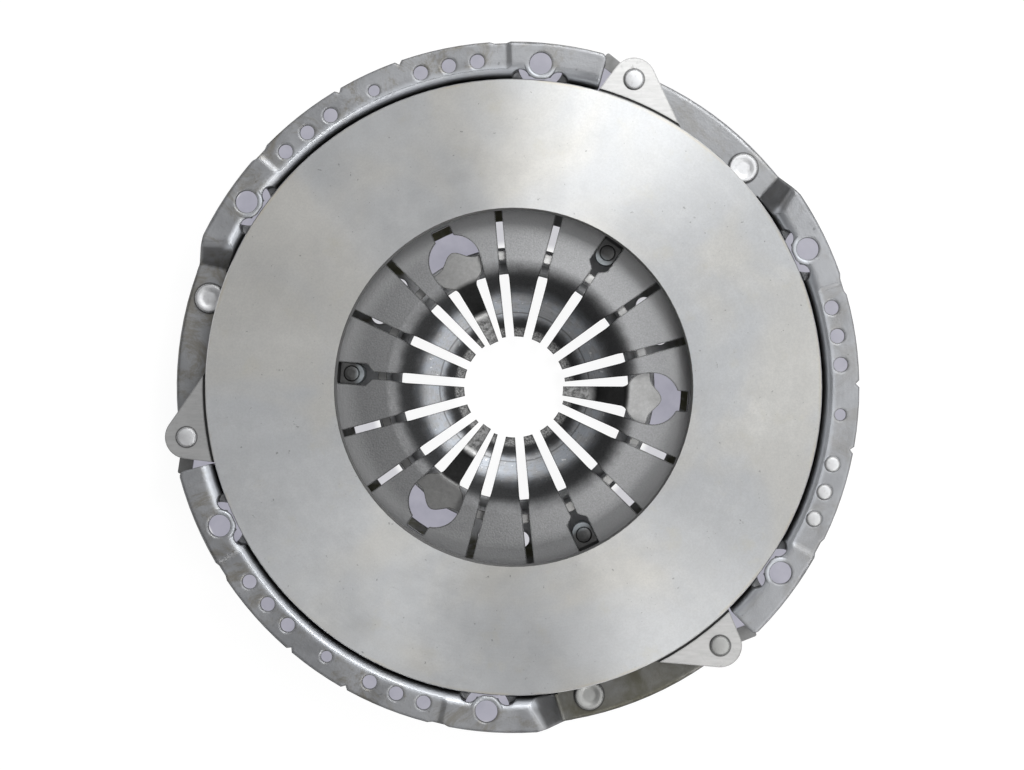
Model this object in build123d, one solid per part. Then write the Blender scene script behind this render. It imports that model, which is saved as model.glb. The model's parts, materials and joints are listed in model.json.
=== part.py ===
"""Clutch pressure plate assembly for a heavy vehicle: pressed cover, cast pressure plate, diaphragm spring.

Millimetres. The origin is the centre of the flywheel mounting plane, and +Z points at the flywheel.
The assembly is drawn free, as it lies on a bench: the pressure plate stands fully towards the flywheel.
"""
import os
from math import acos, atan2, cos, degrees, hypot, pi, radians, sin, sqrt

from build123d import *

# ---- Layout: everything repeats in thirds, and angles run anticlockwise from +X seen from the flywheel
THIRDS = 3
FIRST_THIRD = 115.2            # middle of a raised flange segment, degrees
FITTING_GAP = 0.3              # between pieces of different bodies, and between curved faces
SEAT_GAP = 0.05                # between pieces that sit on each other in one body

# ---- Radii: the friction face sets them, and each of the others keeps its distance from the one before
PLATE_R = 216.0                # outer edge of the friction face
PLATE_BORE_R = 125.0
PLATE_OVERHANG = 15.0          # rim of the plate that stands over the strap seats
PLATE_SIDE_GAP = 1.6           # between that rim and the cover's upper wall
BOLT_INSET = 9.9               # upper wall to bolt circle
BOLT_EDGE = 14.5               # bolt circle to the flange's outer edge
BALANCE_OFFSET = 2.0           # circle of the balancing holes, outside the bolt circle
RECESS_STEP = 4.0              # outer edge of the strap seats inside the flange's edge
STRAP_SEAT_INSET = 14.6        # cover rivet from the outer edge of its seat
LUG_REACH = 15.7               # lug rivet outside the friction face
SHOULDER_GAP = 2.0             # plate's body to the cover's lower wall
LOWER_WALL_DRAFT = 4.0         # lower wall leans in on its way to the fulcrum ledge
SPRING_INSET = 9.0             # rim of the diaphragm spring from the lower wall
FULCRUM_INSET = 6.0            # fulcrum ring from the spring's rim
LEDGE_WIDTH = 10.0             # fulcrum ledge inside its ring
LEVER = 28.0                   # fulcrum bead inside the fulcrum ring
RIB_INSET = 7.0                # cooling ribs from the bead
RIB_RIM_GAP = 2.0

PLATE_BODY_R = PLATE_R - PLATE_OVERHANG
COVER_WALL_R = PLATE_R + PLATE_SIDE_GAP
BOLT_R = COVER_WALL_R + BOLT_INSET
BALANCE_R = BOLT_R + BALANCE_OFFSET
FLANGE_R = BOLT_R + BOLT_EDGE
RECESS_R = FLANGE_R - RECESS_STEP
STRAP_SEAT_R = RECESS_R - STRAP_SEAT_INSET
LUG_RIVET_R = PLATE_R + LUG_REACH
SHOULDER_R = PLATE_BODY_R + SHOULDER_GAP
COVER_FLOOR_R = SHOULDER_R - LOWER_WALL_DRAFT
SPRING_R = COVER_FLOOR_R - SPRING_INSET
FULCRUM_R = SPRING_R - FULCRUM_INSET
LEDGE_INNER_R = FULCRUM_R - LEDGE_WIDTH
BEAD_R = FULCRUM_R - LEVER
RIB_INNER_R = BEAD_R + RIB_INSET
RIB_OUTER_R = PLATE_BODY_R - RIB_RIM_GAP

# ---- Cover: pressed sheet steel
COVER_SHEET = 5.5
RECESS_DEPTH = 20.0            # strap seat below the mounting face
FLANGE_BEND_R = 9.0
FLANGE_EDGE_R = 1.3            # rounding of the sheared outer edge
UPPER_WALL_DEPTH = 17.0
SHOULDER_DEPTH = 31.6
BACK_DISH = 6.0                # inside face of the back below the fulcrum ledge
BACK_DISH_RUN = 8.0            # radial run of the slope between ledge and back
COVER_BORE_R = 81.0            # central opening
BORE_BAND_WIDTH = 5.0          # raised band round the opening
BORE_BAND_RISE = 3.0
BACK_BENDS = (7.0, 7.0, 1.5, 1.5, 7.0)   # from the lower wall to the opening
SEAT_BEND_R = 7.0
SHOULDER_BENDS = (4.0, 8.0)

RAISED_START = -41.0           # start of a raised segment, degrees from the third's middle
RAISED_END = 43.0              # its sheet runs under the ramp to here
RAISED_CORNER_R = 4.5          # rounded corner where the segment starts
RECESS_START = 41.8            # start of the strap seat, under the foot of the ramp
RAMP_MIDDLE = 42.0             # direction that the ramp's crest and foot are measured from
RAMP_CREST = (-17.5, -6.3)     # crest beside that direction, at the upper wall and at the flange's edge
RAMP_CREST_BENDS = (12.0, 7.0)
RAMP_FOOT = (1.7, 5.8)
RAMP_FOOT_BEND = 1.5
RAMP_LEAD = 6.5                # flat sheet before the crest and past the foot
RAMP_START = 34.0              # angles between which the ramp's sheet is turned out of the roll
RAMP_END = 45.0
RAMP_EDGE = (38.6, 43.6)       # angles between which the outer edge steps in to the strap seat's
MIDDLE_START = -24.0           # the middle of a segment lies a little lower than its mounting pads
MIDDLE_END = 22.0
MIDDLE_DROP = 0.8
MIDDLE_SLOPE = 3.5             # length of the slope at each end of that lower middle
MIDDLE_INSET = 5.4             # its inner edge from the upper wall
JOIN = 0.5                     # neighbouring stretches of sheet run into each other, degrees
RIM_MARGIN = 8.0               # what is cut at the rim is drawn this far past it

BOLT_HOLE_R = 7.75
BOLT_OFFSET = 30.0             # mounting holes each side of a third's middle, degrees
PAD_R = 11.2                   # rounded pad round each mounting hole
PAD_LIP = 0.8                  # pad inside the upper wall
PAD_NOTCH_R = 6.3              # relief notches beside the pad
PAD_NOTCH_OFFSET = 3.6         # degrees
BOLT_ACCESS_R = 16.0           # pocket for the bolt head under the flange
BALANCE_HOLE_R = 5.0
BALANCE_OFFSETS = (-18.85, -13.8, -8.75, 8.75, 13.8, 18.85)
DOWEL_HOLE_R = 4.0
EDGE_NICKS = (-5.7, 5.4)       # small V nicks in the flange edge, degrees
EDGE_NICK = 1.8
EDGE_FLATS = ((-24.8, -21.2), (20.3, 24.0))
EDGE_FLAT_DEPTH = 1.2
EDGE_FLAT_SLOPE = 0.8          # degrees over which a flat runs out at each end

VENT_INNER_R = 100.0
VENT_OUTER_R = 119.0
VENT_START = -43.0             # long vent, degrees from the third's middle
VENT_END = 11.0
DRAIN_HOLE_R = 6.0
DRAIN_OFFSETS = (24.0, 37.0)

# ---- Pressure plate: grey iron casting
PLATE_FACE_DROP = 2.0          # friction face below the mounting face when the assembly is free
PLATE_RIM = 7.0                # thickness of the rim that overhangs the strap seats
PLATE_BODY = 22.0
PLATE_BORE_CHAMFER = 0.8
PLATE_EDGE_CHAMFER = 0.6
PLATE_TRAVEL = 6.0             # free, through clamped, to released
BEAD_WIDTH = 7.0               # fulcrum bead under the diaphragm spring
BEAD_HEIGHT = 12.0
BEAD_SEGMENTS = 9
BEAD_ARC = 31.0                # degrees of each bead segment
RIB_COUNT = 36
RIB_WIDTH = 5.0
RIB_HEIGHT = 5.0
LUG_DROP = 1.5                 # lug face below the friction face
LUG_WEB = 9.0                  # thickness of the sloping web of a lug
LUG_TIP_R = 15.2
LUG_RIVET_ANGLE = 73.45        # degrees past the third's middle
LUG_ROOT_START = -11.7         # ends of the lug's root, degrees from its rivet
LUG_ROOT_END = 5.5
LUG_GROOVE = 1.9               # turned groove between the friction face and a lug
LUG_GROOVE_DEPTH = 1.6
LUG_BOSS_MARGIN = 8.5          # web between the sloping edge and the thick part
LUG_SEAT_STEP = 0.5            # strap seat of a lug below the strap seat of the cover, free
LUG_SIDE_GAP = 1.5             # between a lug and the opening it passes through

# ---- Drive straps: stacks of flat spring steel leaves
STRAP_LEAVES = 4
STRAP_LEAF = 1.0
STRAP_LEAF_GAP = 0.05
STRAP_WIDTH = 21.0             # with round ends about its two rivets
STRAP_SEAT_ANGLE = 48.5        # degrees past the third's middle
STRAP_TAB = 27.0               # narrow end tab beyond the lug rivet
STRAP_TAB_WIDTH = 9.8
STRAP_TAB_CORNER = 1.5
STRAP_CLAMPED = 15.0           # flat length at each rivet
STRAP_SPACER = 6.5             # between the cover and a strap stack
STRAP_BEND_R = 60.0

# ---- Rivets and washers
COVER_RIVET_SHANK_R = 5.5
COVER_RIVET_HEAD_R = 10.3
COVER_RIVET_HEAD = 3.4
COVER_RIVET_DISH = 0.7
HEAD_EDGE = 0.7                # chamfer round a rivet head
HEAD_CROWN = 0.35              # rise of a plain head towards its middle
LUG_RIVET_SHANK_R = 4.5
LUG_RIVET_HEAD_R = 7.0
LUG_RIVET_HEAD = 2.6
WASHER = 2.5
SPACER_R = 11.0
WASHER_MARGIN = 0.8            # washer beyond the closing head
CLOSING_HEAD = 4.0
HOLE_CLEARANCE = 0.1           # radial, rivet shank in its holes
BALANCE_RIVET_HEAD = 1.6
BALANCE_RIVET_HEAD_R = 5.6

# ---- Diaphragm spring: one dished steel sheet with slotted fingers
SPRING_SHEET = 5.3
CONE_SLOPE = 0.27              # rise per run of the free cone
CONE_INNER_R = 84.0            # where the fingers leave the cone
TIP_CIRCLE_R = 36.0
FINGER_STEPS = ((66.5, 16.0), (49.5, 21.0), (41.0, 28.0))   # radius, depth below the top of the cone
FINGER_BENDS = (13.0, 11.0, 9.0, 9.0)
FINGER_PITCH = 20.0
SLOT_HALF = 2.45
SLOT_ROOT_R = 133.0
SLOT_ROOT_HOLE_R = 6.0
SLOT_NECK_R = 87.5             # outside this radius a slot is parallel
SLOT_WIDEST_R = 77.0
SLOT_WIDEST_HALF = 3.5
SLOT_TIP_HALF = 3.0
KEYHOLE_HALF = 7.6
KEYHOLE_START_R = 100.0
KEYHOLE_ROUND_R = 104.5
WINDOW_R = 98.6                # centre of a window's round part
WINDOW_ROUND_R = 18.2
WINDOW_SIDES = ((71.0, 13.2), (85.5, 16.0))   # radius and half-width between its mouth and its round part
WINDOW_MOUTH_HALF = 5.8
WINDOW_NECK_HALF = 7.0
WINDOW_NECK_R = 123.0          # square outer end of its neck
WINDOW_CORNER_R = 1.2

# ---- Release bearing retaining spring: three tongues on a ring behind the fingers
RETAINER_SHEET = 2.0
RETAINER_GAP = 0.2
RETAINER_BAND = (90.0, 96.5)
RETAINER_CROWN_R = 104.5       # top of the round crown outside the band
RETAINER_CROWN_HALF = 14.0
RETAINER_SHOULDER = ((76.0, 6.8), (79.5, 8.6), (82.0, 12.2), (85.5, 15.8), (89.5, 17.4))
TONGUE_TIP_R = 34.5
TONGUE_TIP_HALF = 3.2
TONGUE_BREAK_R = 79.5          # where a tongue leaves the cone
TONGUE_PAD_R = 56.5            # outer end of its flat pad
TONGUE_DROP = 33.0             # pad below the top of the cone
TONGUE_BENDS = (5.0, 8.0)

# ---- Fulcrum ring and guide keys
FULCRUM_WIRE_R = 3.0
FULCRUM_GROOVE = 0.6
KEY_ANGLE = 180.0 / THIRDS     # halfway between two raised segments' middles
KEY_HALF = 7.2
KEY_INNER_R = 106.5
KEY_OUTER_R = 131.0
KEY_RIVET_R = 115.5
KEY_RECESS = 1.6               # key top below the spring's top face
KEY_STEP_DROP = 9.0            # outer end of a key below its top, under the pressure plate
KEY_STEP_GAP = 2.0             # between the step and the plate's bore
KEY_RIVET_HEAD_R = 5.6
KEY_RIVET_HEAD = 1.2
KEY_RIVET_SHANK_R = 3.5
KEY_RIVET_SINK = 0.6           # head below the key's top face
KEY_CLOSING_R = 6.0            # closing head, sunk flush into the back
KEY_CLOSING = 2.4

# ---- Heights and reach worked out from the above
FAR_R = FLANGE_R + 60.0        # well outside the part
FACE_Z = -PLATE_FACE_DROP
CONE_STRETCH = hypot(1, CONE_SLOPE)
BEAD_TIP_Z = FACE_Z - PLATE_BODY - BEAD_HEIGHT
LUG_TOP_Z = FACE_Z - LUG_DROP
SEAT_TOP_Z = -RECESS_DEPTH
SEAT_UNDER_Z = SEAT_TOP_Z - COVER_SHEET
STRAP_TOP_Z = SEAT_UNDER_Z - STRAP_SPACER
LUG_UNDER_Z = SEAT_UNDER_Z - LUG_SEAT_STEP
STACK = STRAP_LEAVES * (STRAP_LEAF + STRAP_LEAF_GAP)


def spring_top(r):
    """Height of the free cone's top face at a radius; it clears the rounded bead by the fitting gap."""
    round_r = BEAD_WIDTH / 2
    below_bead = (round_r + FITTING_GAP) * CONE_STRETCH - round_r
    return BEAD_TIP_Z - below_bead + (BEAD_R - r) * CONE_SLOPE


def spring_under(r):
    """Height of the free cone's underside at a radius."""
    return spring_top(r) - SPRING_SHEET * CONE_STRETCH


RING_Z = spring_under(FULCRUM_R) - FULCRUM_WIRE_R * CONE_STRETCH
LEDGE_Z = RING_Z - FULCRUM_WIRE_R + FULCRUM_GROOVE
BACK_Z = LEDGE_Z - BACK_DISH


def third_angles(offset=0.0):
    """The angle that lies offset degrees past each third's middle."""
    return [FIRST_THIRD + third * 360.0 / THIRDS + offset for third in range(THIRDS)]


def polar(r, angle):
    """X and Y of a point from its radius and angle."""
    return r * cos(radians(angle)), r * sin(radians(angle))


def at(r, angle, z=0.0):
    """Location at a radius and angle, turned so that local X points outwards."""
    x, y = polar(r, angle)
    return Pos(x, y, z) * Rot(0, 0, angle)


def plan(points):
    """Closed face in the XY plane through the points."""
    return make_face(Polyline(*points, close=True).edges()).face()


def prism(face, low, high):
    """Plan face pulled up between two heights."""
    return extrude(Pos(0, 0, low) * face, high - low)


def sector(inner, outer, start, end, low, high, reach=12.0):
    """Ring sector between two radii, two angles and two heights."""
    ring = Pos(0, 0, low) * Cylinder(outer, high - low, align=(Align.CENTER, Align.CENTER, Align.MIN))
    if inner > 0:
        ring -= Pos(0, 0, low) * Cylinder(inner, high - low, align=(Align.CENTER, Align.CENTER, Align.MIN))
    if end - start >= 360:
        return ring
    steps = max(1, int((end - start) // 60) + 1)
    fan = [(0.0, 0.0)]
    for step in range(steps + 1):
        fan.append(polar(outer * 1.3 + reach, start + (end - start) * step / steps))
    return ring & prism(plan(fan), low, high)


def pillar(r, angle, radius, low, high):
    """Round post at a radius and angle."""
    return at(r, angle, low) * Cylinder(radius, high - low, align=(Align.CENTER, Align.CENTER, Align.MIN))


def sheet_section(path, bends, thickness):
    """Closed face of a bent sheet. The path is one side, and the sheet lies on its left-hand side."""
    normals = []
    for (r0, z0), (r1, z1) in zip(path, path[1:]):
        run = hypot(r1 - r0, z1 - z0)
        normals.append((-(z1 - z0) / run, (r1 - r0) / run))
    far = [(path[0][0] + normals[0][0] * thickness, path[0][1] + normals[0][1] * thickness)]
    far_bends = []
    for corner, (before, after) in enumerate(zip(normals, normals[1:])):
        spread = 1 + before[0] * after[0] + before[1] * after[1]
        far.append((path[corner + 1][0] + (before[0] + after[0]) * thickness / spread,
                    path[corner + 1][1] + (before[1] + after[1]) * thickness / spread))
        left_turn = before[0] * after[1] - before[1] * after[0] > 0
        far_bends.append(bends[corner] - thickness if left_turn else bends[corner] + thickness)
    far.append((path[-1][0] + normals[-1][0] * thickness, path[-1][1] + normals[-1][1] * thickness))
    near_line = FilletPolyline(*path, radius=list(bends))
    far_line = FilletPolyline(*far, radius=far_bends)
    ends = [Line(path[0], far[0]), Line(path[-1], far[-1])]
    return make_face(near_line.edges() + far_line.edges() + [line.edge() for line in ends]).face()


def spun(section, start=0.0, end=360.0):
    """Section in radius and height, revolved about Z between two angles."""
    upright = Plane.XZ * section
    if end - start >= 360:
        return revolve(upright, Axis.Z)
    turned = Rot(0, 0, start) * upright
    return revolve(turned, Axis.Z, revolution_arc=end - start)


def tangent_point(outside, centre, radius):
    """Where a line from an outside point touches a circle, on the side away from the axis."""
    dx, dy = outside[0] - centre[0], outside[1] - centre[1]
    turn = acos(radius / hypot(dx, dy))
    headings = [atan2(dy, dx) + turn, atan2(dy, dx) - turn]
    points = [(centre[0] + radius * cos(heading), centre[1] + radius * sin(heading)) for heading in headings]
    return max(points, key=lambda point: hypot(*point))


# ---- Cover: one third is drawn about angle 0, the middle of its raised segment

def lower_wall(depth):
    """Radius inside the lower wall at a depth below the mounting face."""
    share = (depth - SHOULDER_DEPTH) / (-LEDGE_Z - SHOULDER_DEPTH)
    return SHOULDER_R + (COVER_FLOOR_R - SHOULDER_R) * share


def back_path():
    """Fulcrum ledge, dished back and the band round the central opening."""
    band_r = COVER_BORE_R + BORE_BAND_WIDTH
    return [(COVER_FLOOR_R, LEDGE_Z), (LEDGE_INNER_R, LEDGE_Z), (LEDGE_INNER_R - BACK_DISH_RUN, BACK_Z),
            (band_r + BORE_BAND_RISE, BACK_Z), (band_r, BACK_Z + BORE_BAND_RISE),
            (COVER_BORE_R, BACK_Z + BORE_BAND_RISE)]


def round_rim(section):
    """Sheet section with both corners of its outermost end rounded."""
    outermost = section.vertices().sort_by(Axis.X)[-2:]
    return fillet(outermost, FLANGE_EDGE_R).face()


def raised_section():
    """Flange, upper wall and shoulder, and down to the opening in the back."""
    path = [(FLANGE_R, 0), (COVER_WALL_R, 0), (COVER_WALL_R, -UPPER_WALL_DEPTH),
            (SHOULDER_R, -SHOULDER_DEPTH)] + back_path()
    return round_rim(sheet_section(path, (FLANGE_BEND_R,) + SHOULDER_BENDS + BACK_BENDS, COVER_SHEET))


def recess_section():
    """Strap seat and the wall under it, and down to the opening in the back."""
    path = [(RECESS_R, SEAT_TOP_Z), (lower_wall(RECESS_DEPTH), SEAT_TOP_Z)] + back_path()
    return round_rim(sheet_section(path, (SEAT_BEND_R,) + BACK_BENDS, COVER_SHEET))


def across(angle, r):
    """Upright plane facing outwards at an angle: local X runs round the cover and local Y is height."""
    origin, round_way, outwards = polar(r, angle) + (0,), polar(1, angle + 90) + (0,), polar(1, angle) + (0,)
    return Plane(origin=origin, x_dir=round_way, z_dir=outwards)


def ramp_line(outer):
    """Points along the ramp's top face, from the strap seat up to the flange, and the bends between them."""
    crest, foot = RAMP_CREST[outer], RAMP_FOOT[outer]
    line = [(foot + RAMP_LEAD, SEAT_TOP_Z), (foot, SEAT_TOP_Z), (crest, 0), (crest - RAMP_LEAD, 0)]
    return line, (RAMP_FOOT_BEND, RAMP_CREST_BENDS[outer])


def ramp():
    """Bent sheet that sinks from the raised flange to the strap seat; its crest and foot aren't parallel."""
    profiles = [across(RAMP_MIDDLE, r) * sheet_section(*ramp_line(outer), COVER_SHEET)
                for outer, r in enumerate((COVER_WALL_R, FLANGE_R))]
    foot = (COVER_WALL_R, SEAT_UNDER_Z)
    roll = FilletPolyline((FLANGE_R, 0), (COVER_WALL_R, 0), foot, radius=FLANGE_BEND_R)
    rest = Polyline(foot, (FLANGE_R, SEAT_UNDER_Z), (FLANGE_R, 0))
    under_roll = make_face(roll.edges() + rest.edges()).face()
    return loft(profiles, ruled=True) & spun(under_roll, RAMP_START, RAMP_END)


def above_ramp():
    """Space over the ramp's top face, where the raised segment is cut away."""
    profiles = []
    for outer, r in enumerate((COVER_WALL_R, FLANGE_R)):
        line, bends = ramp_line(outer)
        far, near = line[0][0] + RAMP_LEAD, line[-1][0]
        lower = FilletPolyline((far, SEAT_TOP_Z), *line[1:], radius=list(bends))
        upper = Polyline((near, 0), (near, COVER_SHEET), (far, COVER_SHEET), (far, SEAT_TOP_Z))
        profiles.append(across(RAMP_MIDDLE, r) * make_face(lower.edges() + upper.edges()).face())
    return loft(profiles, ruled=True)


def edge_cuts():
    """Nicks, shallow flats and the shaped corners in the rim of a raised segment."""
    low, high, out = SEAT_UNDER_Z - COVER_SHEET, COVER_SHEET, FLANGE_R + RIM_MARGIN
    nick = Rot(0, 0, 45) * Box(EDGE_NICK * 2, EDGE_NICK * 2, COVER_SHEET * 4)
    cuts = [at(FLANGE_R, offset) * nick for offset in EDGE_NICKS]
    for start, end in EDGE_FLATS:
        flat_r = FLANGE_R - EDGE_FLAT_DEPTH
        flat = plan([polar(FLANGE_R, start), polar(flat_r, start + EDGE_FLAT_SLOPE),
                     polar(flat_r, end - EDGE_FLAT_SLOPE), polar(FLANGE_R, end),
                     polar(out, end), polar(out, start)])
        cuts.append(prism(flat, low, high))
    step_start, step_end = RAMP_EDGE
    step_in = plan([polar(FLANGE_R, step_start), polar(out, step_start), polar(out, step_end),
                    polar(RECESS_R, step_end)])
    foot_rim = sector(RECESS_R, out, step_end, RAMP_END + 1, low, high)
    corner_r = FLANGE_R - RAISED_CORNER_R
    corner_angle = RAISED_START + degrees(RAISED_CORNER_R / corner_r)
    corner = sector(corner_r, out, RAISED_START - 1, corner_angle, low, high)
    corner -= pillar(corner_r, corner_angle, RAISED_CORNER_R, low, high)
    return cuts + [prism(step_in, low, high), foot_rim, corner]


def lower_middle():
    """Space over the middle of a raised segment, with a slope at each end."""
    inner_r, out = COVER_WALL_R + MIDDLE_INSET, FLANGE_R + RIM_MARGIN
    space = sector(inner_r, out, MIDDLE_START, MIDDLE_END, -MIDDLE_DROP, 1)
    for angle, side in ((MIDDLE_START, -1), (MIDDLE_END, 1)):
        slope = plan([(-side, -MIDDLE_DROP), (0, -MIDDLE_DROP), (side * MIDDLE_SLOPE, 0),
                      (side * MIDDLE_SLOPE, 1), (-side, 1)])
        space += extrude(across(angle, inner_r) * slope, out - inner_r)
    return space


def cover_third():
    """One third of the cover with its pads and holes."""
    low, high = -COVER_SHEET - 1, 1
    third = spun(raised_section(), RAISED_START, RAISED_END) - above_ramp()
    third += spun(recess_section(), RECESS_START, RAISED_START + 360 / THIRDS + JOIN)
    third += ramp()
    third -= lower_middle()
    for side in (-1, 1):
        angle = side * BOLT_OFFSET
        third -= pillar(BOLT_R, angle, BOLT_ACCESS_R, -UPPER_WALL_DEPTH - 14, -COVER_SHEET)
        pad = pillar(BOLT_R, angle, PAD_R, -COVER_SHEET, 0)
        third += pad - sector(0, COVER_WALL_R - PAD_LIP, 0, 360, low, high)
        third -= pillar(BOLT_R, angle, BOLT_HOLE_R, low, high)
        for notch in (-PAD_NOTCH_OFFSET, PAD_NOTCH_OFFSET):
            third -= pillar(COVER_WALL_R - 1, angle + notch, PAD_NOTCH_R, -UPPER_WALL_DEPTH, high)
    for offset_angle in BALANCE_OFFSETS:
        third -= pillar(BALANCE_R, offset_angle, BALANCE_HOLE_R, low, high)
    third -= pillar(BALANCE_R, 0, DOWEL_HOLE_R, low, high)
    third -= pillar(STRAP_SEAT_R, STRAP_SEAT_ANGLE, COVER_RIVET_SHANK_R + HOLE_CLEARANCE,
                    SEAT_UNDER_Z - 1, SEAT_TOP_Z + 1)
    for cut in edge_cuts():
        third -= cut
    return third


def make_cover():
    third = cover_third()
    body = Rot(0, 0, FIRST_THIRD) * third
    for angle in third_angles()[1:]:
        body += Rot(0, 0, angle) * third
    for middle in third_angles():
        body -= prism(lug_face(middle + LUG_RIVET_ANGLE, LUG_SIDE_GAP, LEDGE_INNER_R), SEAT_TOP_Z, 2)
        way_down = LUG_UNDER_Z - PLATE_TRAVEL - STRAP_LEAF
        body -= prism(lug_window(middle), way_down, 2)
        body -= prism(boss_face(middle + LUG_RIVET_ANGLE, LUG_SIDE_GAP), way_down, 2)
        for cut in back_cuts(middle):
            body -= cut
    return body - Pos(0, 0, RING_Z) * Torus(FULCRUM_R, FULCRUM_WIRE_R)


# ---- Lugs: their outlines also shape the openings in the cover

def lug_points(rivet_angle):
    """Corners of a lug's outline: the two root ends and where the sides meet the round tip."""
    centre = polar(LUG_RIVET_R, rivet_angle)
    root_start = polar(PLATE_R - 0.4, rivet_angle + LUG_ROOT_START)
    root_end = polar(PLATE_R - 0.4, rivet_angle + LUG_ROOT_END)
    tip_start = tangent_point(root_start, centre, LUG_TIP_R)
    tip_end = tangent_point(root_end, centre, LUG_TIP_R)
    return centre, root_start, tip_start, tip_end, root_end


def lug_face(rivet_angle, margin=0.0, root_r=PLATE_BODY_R - 4):
    """Outline of a lug, from inside the plate to its round tip; margin grows it."""
    centre, root_start, tip_start, tip_end, root_end = lug_points(rivet_angle)
    inner_start = polar(root_r, rivet_angle + LUG_ROOT_START)
    inner_end = polar(root_r, rivet_angle + LUG_ROOT_END)
    outline = plan([inner_start, root_start, tip_start, centre, tip_end, root_end, inner_end])
    outline = (outline + Pos(*centre, 0) * Circle(LUG_TIP_R)).face()
    return offset(outline, margin, kind=Kind.ARC).face() if margin else outline


def past_slope(rivet_angle, shift):
    """Plan of everything a shift behind a lug's sloping edge, on the rivet's side."""
    _, root_start, tip_start, _, _ = lug_points(rivet_angle)
    heading = atan2(tip_start[1] - root_start[1], tip_start[0] - root_start[0])
    along, aside = (cos(heading), sin(heading)), (-sin(heading), cos(heading))

    def step(forwards, sideways):
        return (root_start[0] + along[0] * forwards + aside[0] * sideways,
                root_start[1] + along[1] * forwards + aside[1] * sideways)
    reach = FAR_R - PLATE_R
    far = shift + reach
    return plan([step(-reach, shift), step(reach, shift), step(reach, far), step(-reach, far)])


def boss_face(rivet_angle, margin=0.0):
    """Thick part of a lug: the outline without the strip beside its sloping edge; margin grows it."""
    outline = (lug_face(rivet_angle) & past_slope(rivet_angle, LUG_BOSS_MARGIN)).face()
    return offset(outline, margin, kind=Kind.ARC).face() if margin else outline


def lug_window(middle):
    """Plan of the opening that lets a lug and its strap end move through the cover."""
    stop = middle + 360 / THIRDS + RAISED_START
    start = middle + LUG_RIVET_ANGLE + LUG_ROOT_START
    wedge = plan([polar(LEDGE_INNER_R, start), polar(FAR_R, start), polar(FAR_R, stop),
                  polar(LEDGE_INNER_R, stop)])
    return (wedge & past_slope(middle + LUG_RIVET_ANGLE, LUG_BOSS_MARGIN - LUG_SIDE_GAP)).face()


def back_cuts(middle):
    """Vent, drain holes and key rivet hole in one third of the back."""
    low, high = BACK_Z - COVER_SHEET - 2, BACK_Z + 2
    round_r = (VENT_OUTER_R - VENT_INNER_R) / 2
    mid_r = VENT_INNER_R + round_r
    cuts = [sector(VENT_INNER_R, VENT_OUTER_R, middle + VENT_START, middle + VENT_END, low, high)]
    cuts += [pillar(mid_r, middle + end, round_r, low, high) for end in (VENT_START, VENT_END)]
    cuts += [pillar(mid_r, middle + drain, DRAIN_HOLE_R, low, high) for drain in DRAIN_OFFSETS]
    key_angle = middle + KEY_ANGLE
    cuts.append(pillar(KEY_RIVET_R, key_angle, KEY_RIVET_SHANK_R + HOLE_CLEARANCE, low, high))
    closing_z = BACK_Z - COVER_SHEET + KEY_CLOSING
    cuts.append(pillar(KEY_RIVET_R, key_angle, KEY_CLOSING_R + HOLE_CLEARANCE, low, closing_z + SEAT_GAP))
    return cuts


# ---- Pressure plate

def make_pressure_plate():
    rim_z = FACE_Z - PLATE_RIM
    under_z = FACE_Z - PLATE_BODY
    section = Polyline(
        (PLATE_BORE_R + PLATE_BORE_CHAMFER, FACE_Z), (PLATE_R - PLATE_EDGE_CHAMFER, FACE_Z),
        (PLATE_R, FACE_Z - PLATE_EDGE_CHAMFER), (PLATE_R, rim_z), (PLATE_BODY_R + 2, rim_z),
        (PLATE_BODY_R, rim_z - 2), (PLATE_BODY_R - 2, under_z + 2), (PLATE_BODY_R - 4, under_z),
        (PLATE_BORE_R + 2, under_z), (PLATE_BORE_R, under_z + 2),
        (PLATE_BORE_R, FACE_Z - PLATE_BORE_CHAMFER), close=True)
    plate = spun(make_face(section.edges()).face())
    half = BEAD_WIDTH / 2
    bead_line = FilletPolyline((BEAD_R - half, under_z + 1), (BEAD_R - half, BEAD_TIP_Z),
                               (BEAD_R + half, BEAD_TIP_Z), (BEAD_R + half, under_z + 1),
                               radius=half * 0.98)
    bead_base = Line((BEAD_R - half, under_z + 1), (BEAD_R + half, under_z + 1))
    bead = make_face(bead_line.edges() + [bead_base.edge()]).face()
    for number in range(BEAD_SEGMENTS):
        middle = FIRST_THIRD + number * 360.0 / BEAD_SEGMENTS
        plate += spun(bead, middle - BEAD_ARC / 2, middle + BEAD_ARC / 2)
    rib = Box(RIB_OUTER_R - RIB_INNER_R, RIB_WIDTH, RIB_HEIGHT + 1,
              align=(Align.MIN, Align.CENTER, Align.MIN))
    for number in range(RIB_COUNT):
        plate += Rot(0, 0, FIRST_THIRD + (number + 0.5) * 360.0 / RIB_COUNT) \
            * Pos(RIB_INNER_R, 0, under_z - RIB_HEIGHT) * rib
    for rivet_angle in third_angles(LUG_RIVET_ANGLE):
        plate += prism(lug_face(rivet_angle), LUG_TOP_Z - LUG_WEB, LUG_TOP_Z)
        plate += prism(boss_face(rivet_angle), LUG_UNDER_Z, LUG_TOP_Z)
        plate -= pillar(LUG_RIVET_R, rivet_angle, LUG_RIVET_SHANK_R + HOLE_CLEARANCE,
                        LUG_UNDER_Z - 1, LUG_TOP_Z + 1)
    return plate - sector(PLATE_R, PLATE_R + LUG_GROOVE, 0, 360, LUG_TOP_Z - LUG_GROOVE_DEPTH, FACE_Z)


# ---- Diaphragm spring

def finger_path():
    """Top face of the spring from its rim to a finger tip."""
    cone_top = spring_top(CONE_INNER_R)
    steps = [(r, cone_top - drop) for r, drop in FINGER_STEPS]
    return [(SPRING_R, spring_top(SPRING_R)), (CONE_INNER_R, cone_top)] + steps \
        + [(TIP_CIRCLE_R, steps[-1][1])]


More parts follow.
